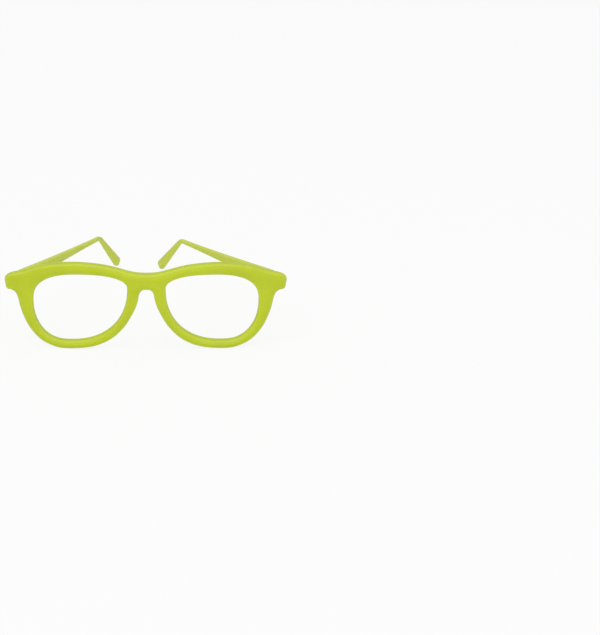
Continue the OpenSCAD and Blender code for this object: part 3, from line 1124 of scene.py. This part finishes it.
@dataclass(frozen=True)
class Camera:
    """The photograph's viewpoint, in degrees and millimetres.

    Its aim is beside the glasses, which stand at the left of the picture.
    """

    azimuth: float = -4.66
    elevation: float = 21.68
    roll: float = 1.66
    aim: tuple[float, float, float] = (79.44, -63.8, 18.78)
    distance: float = 1000.0
    lens: float = 109.2
    sensor: float = 36.0

    def build(self) -> None:
        """Adds the camera and makes it the scene's."""
        azimuth, elevation, roll = (math.radians(a) for a in (self.azimuth, self.elevation, self.roll))
        turn = Matrix.Rotation(azimuth, 4, "Z") @ Matrix.Rotation(math.pi / 2 - elevation, 4, "X")
        data = bpy.data.cameras.new("camera")
        data.lens = self.lens
        data.sensor_width = self.sensor
        camera = new_object("camera", data)
        camera.matrix_world = (
            Matrix.Translation(Vector(self.aim) * MM)
            @ turn
            @ Matrix.Rotation(roll, 4, "Z")
            @ Matrix.Translation((0, 0, self.distance * MM))
        )
        bpy.context.scene.camera = camera


@dataclass(frozen=True)
class Studio:
    """A white table under soft light.

    What the camera sees of the table is lifted towards white, shadow and all.
    """

    table_colour: str = "#FCFCFB"
    table_half: float = 40.0
    table_lift: float = 0.85
    sky: float = 0.5
    lamps: tuple[SoftBox, ...] = (
        SoftBox("key_softbox", place=(-0.6, -1.6, 2.3), size=2.4, share=0.34),
        SoftBox("top_softbox", place=(0.4, 0.5, 2.8), size=2.4, share=0.1, aim=(0.0, 0.0, 0.02)),
        SoftBox("front_fill", place=(0.7, -2.6, 0.9), size=2.0, share=0.16),
    )

    def build(self) -> None:
        """Adds the table, the sky, the lamps and the camera."""
        self._table()
        self._sky()
        for lamp in self.lamps:
            lamp.build()
        Camera().build()
        bpy.context.scene.view_settings.view_transform = "Standard"

    @staticmethod
    def _seen(tree: NodeTree) -> NodeSocket:
        """Tells rays that show the surroundings, straight, mirrored or seen through, from those that light.

        Args:
            tree: The material's or world's node tree.

        Returns:
            The socket that is 1 for the rays that show.
        """
        rays = add_node(tree, "ShaderNodeLightPath", {}).outputs
        seen = rays["Is Camera Ray"]
        for kind in ("Is Glossy Ray", "Is Transmission Ray"):
            either = add_node(tree, "ShaderNodeMath", {0: seen, 1: rays[kind]}, operation="MAXIMUM")
            seen = either.outputs["Value"]
        return seen

    def _table(self) -> None:
        """Adds the table."""
        bm = bmesh.new()
        bmesh.ops.create_grid(bm, x_segments=1, y_segments=1, size=self.table_half)
        mesh = bpy.data.meshes.new("table")
        bm.to_mesh(mesh)
        bm.free()
        table = new_object("table", mesh)
        material, tree = new_material("painted_table")
        lift = add_node(
            tree, "ShaderNodeMath", {0: self._seen(tree), 1: self.table_lift}, operation="MULTIPLY"
        )
        paint = add_node(tree, "ShaderNodeBsdfDiffuse", {"Color": linear(self.table_colour)})
        white = add_node(tree, "ShaderNodeEmission", {"Strength": 1.0})
        shown = add_node(
            tree,
            "ShaderNodeMixShader",
            {0: lift.outputs["Value"], 1: paint.outputs["BSDF"], 2: white.outputs["Emission"]},
        )
        add_node(tree, "ShaderNodeOutputMaterial", {"Surface": shown.outputs["Shader"]})
        mesh.materials.append(material)

    def _sky(self) -> None:
        """Makes the world an even white sky, which shows as plain white."""
        world = bpy.data.worlds.new("studio_sky")
        world.use_nodes = True
        tree = world.node_tree
        tree.nodes.clear()
        strength = add_node(
            tree, "ShaderNodeMapRange", {"Value": self._seen(tree), "To Min": self.sky, "To Max": 1.0}
        )
        shine = {"Color": WHITE, "Strength": strength.outputs["Result"]}
        sky = add_node(tree, "ShaderNodeBackground", shine)
        add_node(tree, "ShaderNodeOutputWorld", {"Surface": sky.outputs["Background"]})
        bpy.context.scene.world = world


class Glasses:
    """The whole pair, built piece by piece on the frame's bodies."""

    FINISHES = {
        "front_plastic": MouldedPlastic(
            name="lime_abs_front", colour="#C1D103", flow_colour="#BACA03", wear_and_highlight_colour="#CDD94C"
        ),
        # The temple's plastic is the front's plastic painted lighter: painted light for the arms, which lie
        # in less light than the front
        "temple_plastic": MouldedPlastic(
            name="lime_abs_temple_painted_lighter",
            colour="#D0DB3E",
            flow_colour="#CAD63A",
            wear_and_highlight_colour="#D8E16C",
            roughness=0.5,
        ),
        "hinge_steel": PlatedSteel(name="nickel_plated_leaf", colour="#C9CBCC", roughness=0.3),
        "screw_steel": PlatedSteel(
            name="nickel_plated_screw", colour="#D2D3D2", roughness=0.24, streak_stretch=1.0
        ),
    }
    LEAF_EDGE, LEAF_CORNER, SCREW_EDGE = 0.1, 1.2, 0.12
    PIVOT_JOINT = "left_fold"

    def __init__(self) -> None:
        """Makes the finishes, and works out where the leaning front stands from the frame's left hinge."""
        self.materials = {slot: finish.material() for slot, finish in self.FINISHES.items()}
        self.hinge = HingeSizes()
        self.temple = TempleSizes()
        self.front = Front(FrontSizes(), self.hinge, (self.temple.butt_h, self.temple.butt_t))
        joint = next(j for j in frame["joints"] if j["name"] == self.PIVOT_JOINT)
        axis = Vector(joint["axis"])
        lean = math.atan2(-axis.y, axis.z)
        self.stand = (
            Matrix.Translation(Vector(joint["pos_m"]))
            @ Matrix.Rotation(lean, 4, "X")
            @ Matrix.Scale(MM, 4)
            @ Matrix.Translation(-self.front.axis)
        )

    def _dress(self, piece: Object, body: str, node: str, slot: str) -> None:
        """Gives a piece its finish, and says what it rides on and stands for.

        Args:
            piece: The new piece.
            body: The frame's body that it moves with.
            node: The frame's node that it replaces.
            slot: The node's material slot.
        """
        piece.data.materials.append(self.materials[slot])
        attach(piece, body)
        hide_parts(node)
        LOG.info("%s: %d faces, for %s on body %s", piece.name, len(piece.data.polygons), node, body)

    def build(self) -> None:
        """Builds the front, then each side's temple, hinge and screw."""
        front = self.front.build(self.stand)
        self._dress(front, "front", "front_frame", "front_plastic")
        for side in Side:
            name = side.label
            at_axis = self.stand @ side.mirror @ Matrix.Translation(self.front.axis)
            at_temple = at_axis @ Matrix.Rotation(math.radians(Temple.REST_TOE[side]), 4, "Z")
            temple = Temple(side, self.temple, self.hinge).build(at_temple)
            self._dress(temple, f"{name}_temple", f"{name}_temple", "temple_plastic")
            leaf = HingePart(f"{name}_front_hinge", f"{name}_front_leaf", self.LEAF_EDGE).build(at_axis)
            self._dress(leaf, "front", f"{name}_front_hinge", "hinge_steel")
            leaf = HingePart(
                f"{name}_temple_hinge", f"{name}_temple_leaf", self.LEAF_EDGE, self.LEAF_CORNER
            ).build(at_temple)
            self._dress(leaf, f"{name}_temple", f"{name}_temple_hinge", "hinge_steel")
            screw = HingePart(f"{name}_hinge_screw", f"{name}_slotted_screw", self.SCREW_EDGE).build(at_axis)
            self._dress(screw, "front", f"{name}_hinge_screw", "screw_steel")


def main() -> None:
    """Builds the studio and the pieces, and logs each one."""
    logging.basicConfig(level=logging.INFO, format="%(name)s: %(message)s")
    Studio().build()
    Glasses().build()


if __name__ == "__main__":
    main()
